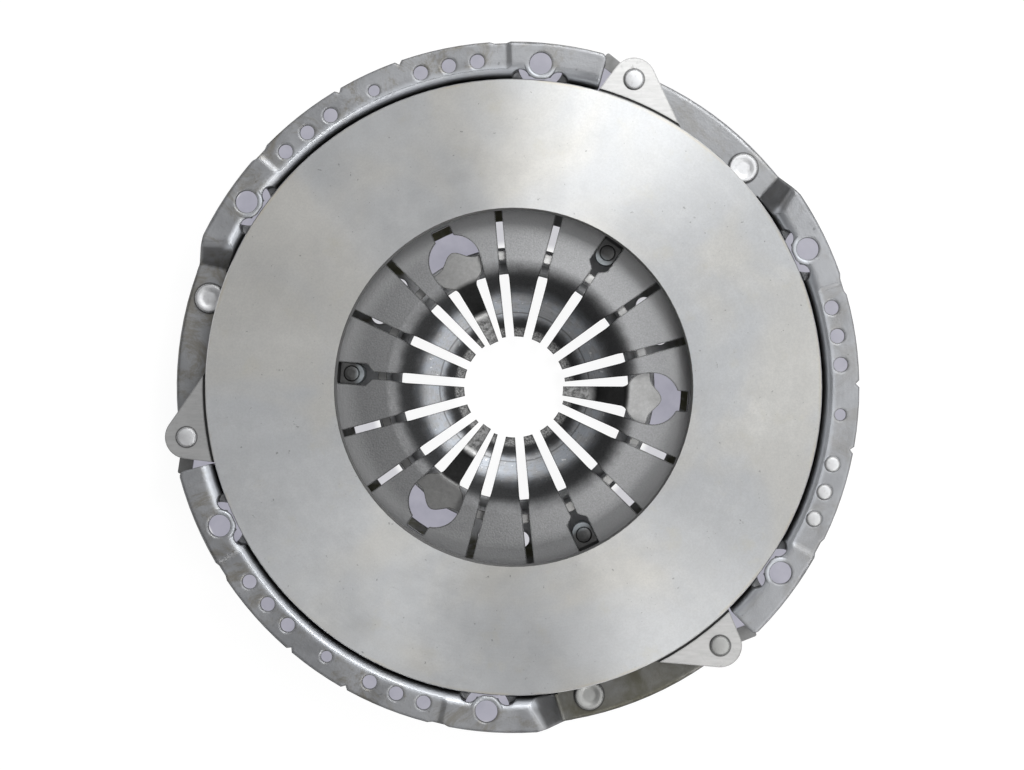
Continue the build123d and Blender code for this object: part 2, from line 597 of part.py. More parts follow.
def mirrored_plan(points):
    """Closed face about local X from its half-widths: pairs of radius and half-width."""
    upper = [(r, half) for r, half in points]
    lower = [(r, -half) for r, half in reversed(points)]
    return plan(upper + lower)


def slot_plan():
    slot = mirrored_plan([(TIP_CIRCLE_R - 6, SLOT_TIP_HALF), (SLOT_WIDEST_R, SLOT_WIDEST_HALF),
                          (SLOT_NECK_R, SLOT_HALF), (SLOT_ROOT_R, SLOT_HALF)])
    return (slot + Pos(SLOT_ROOT_R, 0) * Circle(SLOT_ROOT_HOLE_R)).face()


def keyhole_plan():
    slot = mirrored_plan([(TIP_CIRCLE_R - 6, SLOT_TIP_HALF), (SLOT_WIDEST_R, SLOT_WIDEST_HALF),
                          (SLOT_NECK_R, SLOT_HALF), (KEYHOLE_START_R, SLOT_HALF),
                          (KEYHOLE_ROUND_R, KEYHOLE_HALF), (SLOT_ROOT_R - 2, KEYHOLE_HALF)])
    slot = (slot + Pos(SLOT_ROOT_R - 2, 0) * Circle(KEYHOLE_HALF)).face()
    return slot


def mirrored_face(curves):
    """Closed face about local X from the curves of its upper side, joined across at both ends."""
    first, last = curves[0] @ 0, curves[-1] @ 1
    ends = [Line(first, (first.X, -first.Y)), Line(last, (last.X, -last.Y))]
    lower = [mirror(curve, about=Plane.XZ) for curve in curves]
    return make_face([edge for curve in curves + lower + ends for edge in curve.edges()]).face()


def window_plan():
    """Opening over a tongue: a mouth that widens outwards, a round part and a square neck outside it."""
    mouth = Line((TIP_CIRCLE_R - 6, WINDOW_MOUTH_HALF), WINDOW_SIDES[0])
    side = Spline(*WINDOW_SIDES, (WINDOW_R, WINDOW_ROUND_R), tangents=[mouth % 1, (1, 0)])
    turn = degrees(acos(WINDOW_NECK_HALF / WINDOW_ROUND_R))
    round_part = CenterArc((WINDOW_R, 0), WINDOW_ROUND_R, 90, -turn)
    neck = Line(round_part @ 1, (WINDOW_NECK_R, WINDOW_NECK_HALF))
    window = mirrored_face([mouth, side, round_part, neck])
    corners = [corner for corner in window.vertices() if corner.X > WINDOW_R + 1]
    return fillet(corners, WINDOW_CORNER_R).face()


def make_diaphragm_spring():
    spring = spun(sheet_section(finger_path(), FINGER_BENDS, SPRING_SHEET))
    low, high = BACK_Z, 0.0
    window, keyhole, slot = (prism(face, low, high) for face in (window_plan(), keyhole_plan(), slot_plan()))
    cutters = []
    for number in range(int(360 / FINGER_PITCH)):
        angle = number * FINGER_PITCH
        shape = window if angle % 120 == 0 else keyhole if angle % 120 == 60 else slot
        cutters.append(Rot(0, 0, FIRST_THIRD + angle) * shape)
    for cutter in cutters:
        spring -= cutter
    return spring


# ---- Retaining spring

def tongue_path():
    """Top face of the retaining spring, from the head's edge to a tongue's tip."""
    pad_z = spring_top(CONE_INNER_R) - TONGUE_DROP
    outer_r = RETAINER_CROWN_R + 3
    return [(outer_r, spring_under(outer_r) - RETAINER_GAP),
            (TONGUE_BREAK_R, spring_under(TONGUE_BREAK_R) - RETAINER_GAP),
            (TONGUE_PAD_R, pad_z), (TONGUE_TIP_R, pad_z)]


def crown_plan():
    """Round crown on the band, over a tongue's head."""
    band_r = sum(RETAINER_BAND) / 2
    half, rise = RETAINER_CROWN_HALF, RETAINER_CROWN_R - RETAINER_BAND[1]
    steps = [half * number / 4 for number in range(-4, 5)]
    heights = [sqrt(RETAINER_BAND[1] ** 2 - y ** 2) + rise * cos(pi * y / half / 2) ** 2 for y in steps]
    line = Spline(*zip(heights, steps))
    base = Polyline(line @ 1, (band_r, half), (band_r, -half), line @ 0)
    return make_face(line.edges() + base.edges()).face()


def head_plan():
    """One tongue with its wide head, up to the band."""
    edge = Line((TONGUE_TIP_R - 1, TONGUE_TIP_HALF), RETAINER_SHOULDER[0])
    shoulder = Spline(*RETAINER_SHOULDER)
    into_band = Line(RETAINER_SHOULDER[-1], (RETAINER_BAND[0] + 2, RETAINER_SHOULDER[-1][1]))
    return mirrored_face([edge, shoulder, into_band])


def make_retaining_spring():
    skin = spun(sheet_section(tongue_path(), TONGUE_BENDS, RETAINER_SHEET))
    keep = sector(*RETAINER_BAND, 0, 360, BACK_Z - 10, 0)
    for angle in third_angles():
        for outline in (head_plan(), crown_plan()):
            keep += Rot(0, 0, angle) * prism(outline, BACK_Z - 10, 0)
    return skin & keep


# ---- Straps, rivets, washers, keys and ring

def strap_ends(middle):
    """Cover rivet and lug rivet centres of one strap stack."""
    return polar(STRAP_SEAT_R, middle + STRAP_SEAT_ANGLE), polar(LUG_RIVET_R, middle + LUG_RIVET_ANGLE)


def make_strap_leaf(middle, number):
    """One leaf: flat at its two rivets and sloping between them."""
    start, end = strap_ends(middle)
    length = hypot(end[0] - start[0], end[1] - start[1])
    heading = degrees(atan2(end[1] - start[1], end[0] - start[0]))
    top = STRAP_TOP_Z - STRAP_LEAF_GAP - number * (STRAP_LEAF + STRAP_LEAF_GAP)
    rise = LUG_UNDER_Z - STRAP_TOP_Z
    line = [(-STRAP_WIDTH, 0), (STRAP_CLAMPED, 0),
            (length - STRAP_CLAMPED, rise), (length + STRAP_TAB * 2, rise)]
    bends = [STRAP_BEND_R] * 2
    upper = FilletPolyline(*line, radius=bends)
    lower = FilletPolyline(*[(x, z - STRAP_LEAF) for x, z in line], radius=bends)
    ends = [Line(line[0], (line[0][0], -STRAP_LEAF)), Line(line[-1], (line[-1][0], line[-1][1] - STRAP_LEAF))]
    side = make_face(upper.edges() + lower.edges() + [edge.edge() for edge in ends]).face()
    leaf = extrude(Plane.XZ * side, STRAP_WIDTH, both=True)
    outline = Pos(length / 2, 0) * SlotCenterToCenter(length, STRAP_WIDTH)
    outline += Pos(length + STRAP_TAB / 2, 0) * RectangleRounded(STRAP_TAB, STRAP_TAB_WIDTH, STRAP_TAB_CORNER)
    leaf &= prism(outline.face(), -STRAP_LEAF - 1, rise + 1)
    for x, radius in ((0, COVER_RIVET_SHANK_R), (length, LUG_RIVET_SHANK_R)):
        leaf -= Pos(x, 0, 0) * Cylinder(radius + HOLE_CLEARANCE, 40)
    return Pos(start[0], start[1], top) * Rot(0, 0, heading) * leaf


def rivet(shank_r, head_r, head, grip, closing_r, dish=0.0, closing_head=CLOSING_HEAD):
    """Rivet hanging from its head's underside at height 0, with a closing head under the grip."""
    middle = [(0, head - dish), (head_r * 0.45, head - dish), (head_r * 0.72, head)] if dish else \
        [(0, head), (head_r * 0.5, head - HEAD_CROWN * 0.3)]
    rim_z = head if dish else head - HEAD_CROWN
    line = middle + [(head_r - HEAD_EDGE, rim_z), (head_r, rim_z - HEAD_EDGE), (head_r, 0)]
    top = FilletPolyline(*line, radius=[1.2] * (len(middle) - 1) + [0.4, 0.2])
    closing = [(closing_r, -grip)] if closing_r > shank_r else []
    under = Polyline((head_r, 0), (shank_r, 0), (shank_r, -grip), *closing,
                     (closing_r, -grip - closing_head * 0.5), (closing_r * 0.72, -grip - closing_head),
                     (0, -grip - closing_head), (0, head - dish))
    return spun(make_face(top.edges() + under.edges()).face())


def washer(outer_r, inner_r, thickness=WASHER):
    """Plain washer hanging under height 0, with its edges broken."""
    ring = spun(plan([(inner_r, 0), (outer_r - 0.5, 0), (outer_r, -0.5), (outer_r, 0.5 - thickness),
                      (outer_r - 0.5, -thickness), (inner_r, -thickness)]))
    return ring


def make_strap_spacers():
    one = washer(SPACER_R, COVER_RIVET_SHANK_R + HOLE_CLEARANCE, STRAP_SPACER)
    return [at(STRAP_SEAT_R, angle, SEAT_UNDER_Z) * one for angle in third_angles(STRAP_SEAT_ANGLE)]


def make_cover_rivets():
    grip = COVER_SHEET + STRAP_SPACER + STACK + WASHER + STRAP_LEAF_GAP
    one = rivet(COVER_RIVET_SHANK_R, COVER_RIVET_HEAD_R, COVER_RIVET_HEAD, grip,
                COVER_RIVET_HEAD_R * 0.92, COVER_RIVET_DISH)
    return [at(STRAP_SEAT_R, angle, SEAT_TOP_Z) * one for angle in third_angles(STRAP_SEAT_ANGLE)]


def make_cover_washers():
    one = washer(COVER_RIVET_HEAD_R + WASHER_MARGIN, COVER_RIVET_SHANK_R + HOLE_CLEARANCE)
    z = STRAP_TOP_Z - STACK - STRAP_LEAF_GAP
    return [at(STRAP_SEAT_R, angle, z) * one for angle in third_angles(STRAP_SEAT_ANGLE)]


def make_lug_rivets():
    grip = LUG_TOP_Z - LUG_UNDER_Z + STACK + WASHER + STRAP_LEAF_GAP
    one = rivet(LUG_RIVET_SHANK_R, LUG_RIVET_HEAD_R, LUG_RIVET_HEAD, grip, LUG_RIVET_HEAD_R)
    return [at(LUG_RIVET_R, angle, LUG_TOP_Z) * one for angle in third_angles(LUG_RIVET_ANGLE)]


def make_lug_washers():
    one = washer(LUG_RIVET_HEAD_R + WASHER_MARGIN + 2, LUG_RIVET_SHANK_R + HOLE_CLEARANCE)
    z = LUG_UNDER_Z - STACK - STRAP_LEAF_GAP
    return [at(LUG_RIVET_R, angle, z) * one for angle in third_angles(LUG_RIVET_ANGLE)]


def make_balance_rivets():
    """Rivets that fill one row of balancing holes in the last third."""
    one = rivet(BALANCE_HOLE_R - HOLE_CLEARANCE, BALANCE_RIVET_HEAD_R, BALANCE_RIVET_HEAD,
                COVER_SHEET, BALANCE_HOLE_R - HOLE_CLEARANCE)
    middle = third_angles()[-1]
    return [at(BALANCE_R, middle + offset_angle, -MIDDLE_DROP) * one
            for offset_angle in BALANCE_OFFSETS if offset_angle < 0]


def key_top():
    """Height of a guide key's top face, just under the spring's top face at the key rivet."""
    return spring_top(KEY_RIVET_R) - KEY_RECESS


def make_guide_keys():
    height = key_top() - BACK_Z
    outline = mirrored_plan([(KEY_INNER_R + KEY_HALF, KEY_HALF), (KEY_OUTER_R, KEY_HALF)])
    outline = (outline + Pos(KEY_INNER_R + KEY_HALF, 0) * Circle(KEY_HALF)).face()
    key = prism(outline, BACK_Z, BACK_Z + height)
    key -= Pos(KEY_RIVET_R, 0, BACK_Z) * Cylinder(KEY_RIVET_SHANK_R + HOLE_CLEARANCE, 200)
    key -= Pos(KEY_RIVET_R, 0, key_top() - KEY_RIVET_HEAD - KEY_RIVET_SINK) \
        * Cylinder(KEY_RIVET_HEAD_R + 0.4, 20, align=(Align.CENTER, Align.CENTER, Align.MIN))
    # The outer end steps down to stay clear of the plate's bore and the spring's ring
    key -= Pos(PLATE_BORE_R - KEY_STEP_GAP, 0, key_top() - KEY_STEP_DROP) \
        * Box(KEY_OUTER_R, KEY_HALF * 3, height, align=(Align.MIN, Align.CENTER, Align.MIN))
    return [Rot(0, 0, angle) * key for angle in third_angles(KEY_ANGLE)]


def make_key_rivets():
    seat = key_top() - KEY_RIVET_HEAD - KEY_RIVET_SINK
    grip = seat - BACK_Z + COVER_SHEET - KEY_CLOSING
    one = rivet(KEY_RIVET_SHANK_R, KEY_RIVET_HEAD_R, KEY_RIVET_HEAD, grip, KEY_CLOSING_R,
                closing_head=KEY_CLOSING)
    return [at(KEY_RIVET_R, angle, seat) * one for angle in third_angles(KEY_ANGLE)]


def make_fulcrum_ring():
    return Pos(0, 0, RING_Z) * Torus(FULCRUM_R, FULCRUM_WIRE_R - SEAT_GAP)


def write(name, shape):
    """Write one node; a list is a group of separate solids."""
    if isinstance(shape, list):
        shape = Compound(children=[solid for piece in shape for solid in piece.solids()])
    export_step(shape, "parts/" + name + ".step")


os.makedirs("parts", exist_ok=True)
write("cover", make_cover())
write("pressure_plate", make_pressure_plate())
write("diaphragm_spring", make_diaphragm_spring())
write("bearing_retaining_spring", make_retaining_spring())
write("fulcrum_ring", make_fulcrum_ring())
write("spring_guide_keys", make_guide_keys())
write("guide_key_rivets", make_key_rivets())
for strap_name, strap_middle in zip("abc", third_angles()):
    for leaf_number in range(STRAP_LEAVES):
        write(f"drive_strap_{strap_name}_leaf_{leaf_number + 1}", make_strap_leaf(strap_middle, leaf_number))
write("strap_cover_rivets", make_cover_rivets())
write("strap_cover_washers", make_cover_washers())
write("strap_spacers", make_strap_spacers())
write("strap_lug_rivets", make_lug_rivets())
write("strap_lug_washers", make_lug_washers())
write("balance_rivets", make_balance_rivets())
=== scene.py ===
import json
from math import cos, radians, sin

import bmesh
import bpy
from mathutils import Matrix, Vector


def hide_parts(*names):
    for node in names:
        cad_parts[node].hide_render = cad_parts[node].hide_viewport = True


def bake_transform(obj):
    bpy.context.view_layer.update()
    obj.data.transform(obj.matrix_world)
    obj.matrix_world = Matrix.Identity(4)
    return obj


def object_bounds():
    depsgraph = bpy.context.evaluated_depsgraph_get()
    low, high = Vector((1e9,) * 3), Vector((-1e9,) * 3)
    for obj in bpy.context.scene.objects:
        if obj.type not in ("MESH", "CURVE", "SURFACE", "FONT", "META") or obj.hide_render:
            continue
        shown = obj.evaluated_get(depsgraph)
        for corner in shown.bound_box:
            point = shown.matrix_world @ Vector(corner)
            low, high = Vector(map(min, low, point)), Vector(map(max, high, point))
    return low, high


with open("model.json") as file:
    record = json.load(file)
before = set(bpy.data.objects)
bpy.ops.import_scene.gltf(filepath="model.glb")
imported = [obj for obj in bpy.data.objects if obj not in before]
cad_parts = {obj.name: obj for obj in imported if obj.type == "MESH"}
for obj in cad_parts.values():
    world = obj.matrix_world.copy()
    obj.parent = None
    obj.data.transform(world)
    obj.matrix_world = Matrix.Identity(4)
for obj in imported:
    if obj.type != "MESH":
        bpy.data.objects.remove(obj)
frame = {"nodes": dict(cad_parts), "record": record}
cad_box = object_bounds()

# ---- Sizes of the assembly in metres: +Z points at the flywheel, the mounting plane is z = 0
FACE_Z = -0.002                # friction face
FACE_OUTER_R = 0.216
FACE_BORE_R = 0.125
TURNED_SIDE_Z = -0.016         # the plate's side is turned down to here
BEND_OUTER_R = 0.086           # where the fingers leave the cone
FINGER_STEP_R = 0.0665
FINGER_FALL_R = 0.0495
WEAR_LINE_R = 0.0530
TIP_FLAT_R = 0.0412
TONGUE_HEAD_R = 0.0795          # where a tongue leaves the cone
TONGUE_PAD_R = 0.0560
COVER_WALL_R = 0.2176
OLIVE_FROM_R = 0.112           # the inside of the back is olive with old oil from here out
KEY_CLEAN_R = 0.108
SEGMENT_MIDDLES = (115.2, 235.2, 355.2)   # raised flange segments, degrees
STRAP_SEAT_Z = -0.020
STRAP_SEAT_R = 0.2234          # cover's strap rivets
STRAP_SEAT_ANGLE = 48.5        # degrees past the middle of a raised segment
SEAT_HEAD_R = 0.0103
LUG_RIVET_R = 0.2317
LUG_RIVET_ANGLE = 73.45
LUG_HEAD_R = 0.0070
MERGE = 1e-6

# ---- Painted lilac-grey shadow on the paper, in metres from the axis
UNDER_WINDOWS_R = (0.090, 0.126)
UNDER_VENTS_R = (0.100, 0.130)
UNDER_COVER_R = (0.150, 0.165)
UNDER_FLANGE_R = (0.2426, 0.2404)
WINDOW_HALF_ANGLE = 10.0

# ---- Colours of oil, wear and paper, and of a painted highlight and a painted shadow
WARM_FACE = (0.68, 0.655, 0.57, 1.0)
COOL_FACE = (0.55, 0.585, 0.62, 1.0)
FACE_BLOTCH = (0.56, 0.54, 0.46, 1.0)
BROWNED_RIM = (0.55, 0.50, 0.40, 1.0)
BEND_HIGHLIGHT = (0.62, 0.65, 0.70, 1.0)
OIL_STAIN = (0.19, 0.17, 0.13, 1.0)
DARK_OLIVE = (0.085, 0.081, 0.060, 1.0)
OLD_OIL = (0.13, 0.125, 0.06, 1.0)
RUBBED_BLUE = (0.32, 0.36, 0.42, 1.0)
OILED_STRIP = (0.13, 0.128, 0.115, 1.0)
DARKER_RIVET = (0.21, 0.21, 0.19, 1.0)
KEY_STEEL = (0.20, 0.22, 0.235, 1.0), (0.38, 0.41, 0.43, 1.0)
WIRE_STEEL = (0.10, 0.098, 0.095, 1.0), (0.26, 0.255, 0.245, 1.0)
LILAC_SHADOW = (0.27, 0.27, 0.33, 1.0), (0.47, 0.46, 0.53, 1.0)
WHITE = (1.0, 1.0, 1.0, 1.0)

# ---- The picture: straight down the axis
PICTURE_WIDTH = 1024
PICTURE_HEIGHT = 770
MM_PER_PIXEL = 0.70
AXIS_PIXEL = (513.6, 387.3)    # where the axis meets the friction face
CAMERA_DISTANCE = 2.5
CAMERA_OFFSET = (0.042, 0.014)   # from the axis, so deeper rings shift a little
SENSOR = 36.0


# ---- Short calls for shader nodes

def shader(name):
    """A new material with an empty tree, and its Object coordinates."""
    material = bpy.data.materials.new(name)
    material.use_nodes = True
    tree = material.node_tree
    tree.nodes.clear()
    place = node(tree, "TexCoord").outputs["Object"]
    return material, tree, place


def node(tree, kind, inputs=None, **settings):
    """A shader node; inputs gives a socket's name or number a value or another node's output."""
    made = tree.nodes.new("ShaderNode" + kind)
    for name, value in settings.items():
        setattr(made, name, value)
    for socket, value in (inputs or {}).items():
        if isinstance(value, bpy.types.NodeSocket):
            tree.links.new(value, made.inputs[socket])
        else:
            made.inputs[socket].default_value = value
    return made


def math(tree, operation, first, second=0.0, third=0.0):
    made = node(tree, "Math", {0: first, 1: second, 2: third}, operation=operation)
    return made.outputs[0]


def times(tree, first, second):
    return math(tree, "MULTIPLY", first, second)


def rest_of(tree, share):
    return math(tree, "SUBTRACT", 1.0, share)


def blend_colour(tree, share, first, second):
    return node(tree, "Mix", {"Factor": share, 6: first, 7: second}, data_type="RGBA").outputs[2]


def step(tree, value, low, high, start=0.0, end=1.0):
    """Goes smoothly from start to end while value goes from low to high."""
    made = node(tree, "MapRange", {"Value": value, "From Min": low, "From Max": high,
                                   "To Min": start, "To Max": end},
                interpolation_type="SMOOTHSTEP")
    return made.outputs["Result"]


def noise(tree, place, scale, detail=3.0, roughness=0.55, stretch=None, distortion=0.0):
    """Noise between 0 and 1; stretch scales the coordinates first."""
    if stretch:
        place = node(tree, "Mapping", {"Vector": place, "Scale": stretch}).outputs[0]
    made = node(tree, "TexNoise", {"Vector": place, "Scale": scale, "Detail": detail,
                                   "Roughness": roughness, "Distortion": distortion})
    return made.outputs["Fac"]


def part_of(tree, vector, letter):
    """The X, Y or Z part of a vector."""
    return node(tree, "SeparateXYZ", {"Vector": vector}).outputs[letter]


def from_axis(tree, place):
    """Distance from the axis, direction away from it, and height."""
    parts = node(tree, "SeparateXYZ", {"Vector": place})
    flat = node(tree, "CombineXYZ", {"X": parts.outputs["X"], "Y": parts.outputs["Y"]}).outputs[0]
    radius = node(tree, "VectorMath", {0: flat}, operation="LENGTH").outputs["Value"]
    heading = node(tree, "VectorMath", {0: flat}, operation="NORMALIZE").outputs[0]
    return radius, heading, parts.outputs["Z"]


def polar(tree, place, around, across):
    """Coordinates for marks that run round the axis, slow round it and quick across it; radius; height."""
    radius, heading, height = from_axis(tree, place)
    slow = node(tree, "VectorMath", {0: heading, "Scale": around}, operation="SCALE").outputs[0]
    turned = node(tree, "SeparateXYZ", {"Vector": slow})
    quick = times(tree, radius, across)
    deep = math(tree, "ADD", quick, times(tree, height, across))
    rings = node(tree, "CombineXYZ", {"X": turned.outputs["X"], "Y": turned.outputs["Y"], "Z": deep})
    return rings.outputs[0], radius, height


def upward(tree, low=0.8, high=0.95):
    """1 where the surface faces the flywheel."""
    facing = node(tree, "NewGeometry").outputs["Normal"]
    return step(tree, part_of(tree, facing, "Z"), low, high)


def bumped(tree, heights, strength, distance, softened=0.0):
    """Normals with fine relief; softened rounds creases by that radius first."""
    made = node(tree, "Bump", {"Height": heights, "Strength": strength, "Distance": distance})
    if softened:
        rounded = node(tree, "Bevel", {"Radius": softened}, samples=6).outputs[0]
        tree.links.new(rounded, made.inputs["Normal"])
    return made.outputs[0]


def edge_shade_mask(tree, radius=0.0006):
    """1 along sharp edges, from the angle between the true and a rounded normal; the finishes paint shade
    along edges with it.
    """
    true_normal = node(tree, "NewGeometry").outputs["Normal"]
    rounded = node(tree, "Bevel", {"Radius": radius}, samples=4).outputs[0]
    alike = node(tree, "VectorMath", {0: true_normal, 1: rounded}, operation="DOT_PRODUCT")
    return step(tree, alike.outputs["Value"], 0.998, 0.96)


def on_circle(radius, angle, height=0.0):
    return (radius * cos(radians(angle)), radius * sin(radians(angle)), height)


def off_rivets(tree, place, radius, angle):
    """Distance from the nearest of the three rivets on a circle."""
    flat = node(tree, "VectorMath", {0: place, 1: (1.0, 1.0, 0.0)}, operation="MULTIPLY").outputs[0]
    nearest = 1.0
    for middle in SEGMENT_MIDDLES:
        centre = on_circle(radius, middle + angle)
        away = node(tree, "VectorMath", {0: flat, 1: centre}, operation="DISTANCE").outputs["Value"]
        nearest = math(tree, "MINIMUM", away, nearest)
    return nearest


def metal(tree, colour, roughness, normal, anisotropy=0.0, metallic=1.0):
    """The metal shader and the output."""
    surface = node(tree, "BsdfPrincipled", {"Base Color": colour, "Roughness": roughness,
                                            "Metallic": metallic, "Normal": normal})
    if anisotropy:
        surface.inputs["Anisotropic"].default_value = anisotropy
        surface.inputs["Anisotropic Rotation"].default_value = 0.25
        tangent = node(tree, "Tangent", direction_type="RADIAL", axis="Z").outputs[0]
        tree.links.new(tangent, surface.inputs["Tangent"])
    node(tree, "OutputMaterial", {"Surface": surface.outputs[0]})


def grey(level, blue=0.0):
    """A neutral colour, a little bluer where asked."""
    return (level, level * (1 + blue * 0.3), level * (1 + blue), 1.0)


# ---- Finishes

def turned_iron():
    """Pressure plate: a turned friction ring, milled lugs, and rough casting everywhere else."""
    material, tree, place = shader("turned_iron")
    rings, radius, height = polar(tree, place, 3.0, 900.0)
    top = upward(tree)
    on_ring = times(tree, top, step(tree, radius, FACE_OUTER_R + 0.0004, FACE_OUTER_R - 0.0002))
    cuts = noise(tree, rings, 1.0, 4.0, 0.7)
    broad = noise(tree, polar(tree, place, 2.2, 60.0)[0], 1.0, 3.0, 0.6)
    cloud = noise(tree, place, 14.0, 4.0, 0.6)
    blotch = step(tree, noise(tree, place, 34.0, 5.0, 0.7), 0.56, 0.72)
    grain = noise(tree, place, 700.0, 3.0, 0.7)
    patches = noise(tree, place, 120.0, 4.0, 0.65)
    specks = step(tree, noise(tree, place, 300.0, 2.0, 0.6), 0.71, 0.77)

    # the ring: fans, turning cuts, clouds, then specks, scuffs and a browned rim
    fans = step(tree, noise(tree, polar(tree, place, 3.6, 4.0)[0], 1.0, 2.0, 0.6), 0.35, 0.65)
    ring_colour = blend_colour(tree, broad, grey(0.56), grey(0.74))
    ring_colour = blend_colour(tree, times(tree, fans, 0.50), ring_colour, grey(0.42, 0.01))
    ring_colour = blend_colour(tree, times(tree, cuts, 0.35), ring_colour, grey(0.84))
    patchy = step(tree, patches, 0.35, 0.65, 0.0, 0.35)
    ring_colour = blend_colour(tree, patchy, ring_colour, grey(0.50, 0.03))
    ring_colour = blend_colour(tree, step(tree, cloud, 0.40, 0.62, 0.0, 0.42), ring_colour, grey(0.50, 0.02))
    warm = step(tree, noise(tree, place, 8.0, 3.0, 0.55, distortion=0.8), 0.42, 0.60)
    tint = blend_colour(tree, warm, COOL_FACE, WARM_FACE)
    ring_colour = blend_colour(tree, 0.30, ring_colour, tint)
    ring_colour = blend_colour(tree, step(tree, grain, 0.35, 0.65, 0.0, 0.22), ring_colour, grey(0.40))
    ring_colour = blend_colour(tree, times(tree, blotch, 0.30), ring_colour, FACE_BLOTCH)
    ring_colour = blend_colour(tree, times(tree, specks, 0.6), ring_colour, grey(0.16))
    scuffs = noise(tree, place, 48.0, 7.0, 0.8, (1.0, 1.6, 1.0), distortion=1.6)
    scuffs = step(tree, scuffs, 0.63, 0.70, 0.0, 0.4)
    ring_colour = blend_colour(tree, scuffs, ring_colour, grey(0.34))
    rim = step(tree, radius, FACE_OUTER_R - 0.003, FACE_OUTER_R - 0.0008)
    rim = times(tree, rim, step(tree, noise(tree, place, 26.0, 3.0, 0.6), 0.45, 0.62, 0.0, 0.5))
    ring_colour = blend_colour(tree, rim, ring_colour, BROWNED_RIM)

    # the casting, and the lugs milled flat, with pitted tips, painted shade along the lug edges, round the
    # rivets and in the groove below the face
    cast = blend_colour(tree, noise(tree, place, 260.0, 5.0, 0.7), grey(0.07), grey(0.20))
    milled = blend_colour(tree, noise(tree, place, 90.0, 4.0, 0.6, (1.0, 6.0, 1.0)), grey(0.38), grey(0.56))
    pits = step(tree, noise(tree, place, 210.0, 5.0, 0.7, distortion=0.8), 0.55, 0.68)
    pitted = step(tree, radius, LUG_RIVET_R + 0.002, LUG_RIVET_R + 0.010, 0.12, 0.55)
    milled = blend_colour(tree, times(tree, pits, pitted), milled, grey(0.16))
    # painted shade: dark outlines along the lug edges
    milled = blend_colour(tree, times(tree, edge_shade_mask(tree, 0.0014), 0.75), milled, grey(0.16))
    # painted shade round the rivet heads where they meet the lug
    rivet_contact_shade = step(tree, off_rivets(tree, place, LUG_RIVET_R, LUG_RIVET_ANGLE),
                 LUG_HEAD_R + 0.0012, LUG_HEAD_R + 0.0003)
    milled = blend_colour(tree, times(tree, rivet_contact_shade, 0.85), milled, grey(0.06))
    # painted shade: upward faces more than about 2 mm below the friction face, in the groove, are painted
    # very dark
    groove = step(tree, height, FACE_Z - 0.0022, FACE_Z - 0.0018)
    milled = blend_colour(tree, groove, grey(0.05), milled)
    on_lug = times(tree, top, rest_of(tree, on_ring))
    colour = blend_colour(tree, on_lug, cast, milled)
    colour = blend_colour(tree, on_ring, colour, ring_colour)

    # the side, turned down part of the way
    turned_side = times(tree, step(tree, height, TURNED_SIDE_Z - 0.002, TURNED_SIDE_Z),
                        times(tree, step(tree, radius, FACE_OUTER_R - 0.001, FACE_OUTER_R - 0.0004),
                              step(tree, radius, FACE_OUTER_R + 0.0009, FACE_OUTER_R + 0.0005)))
    colour = blend_colour(tree, times(tree, turned_side, rest_of(tree, top)), colour, grey(0.55))
    machined = math(tree, "MAXIMUM", turned_side, math(tree, "MAXIMUM", on_ring, on_lug))
    ring_rough = step(tree, cloud, 0.3, 0.7, 0.27, 0.36)
    rough = math(tree, "ADD", ring_rough, times(tree, grain, 0.10))
    rough = math(tree, "MULTIPLY_ADD", machined, math(tree, "SUBTRACT", rough, 0.6), 0.6)
    relief = math(tree, "ADD", times(tree, cuts, 0.6), times(tree, grain, 0.4))
    coarse = noise(tree, place, 500.0, 4.0, 0.7)
    relief = math(tree, "MULTIPLY_ADD", math(tree, "SUBTRACT", relief, coarse), machined, coarse)
    depth = math(tree, "MULTIPLY_ADD", machined, -0.22, 0.3)
    metal(tree, colour, rough, bumped(tree, relief, depth, 0.0004), anisotropy=0.75)
    return material


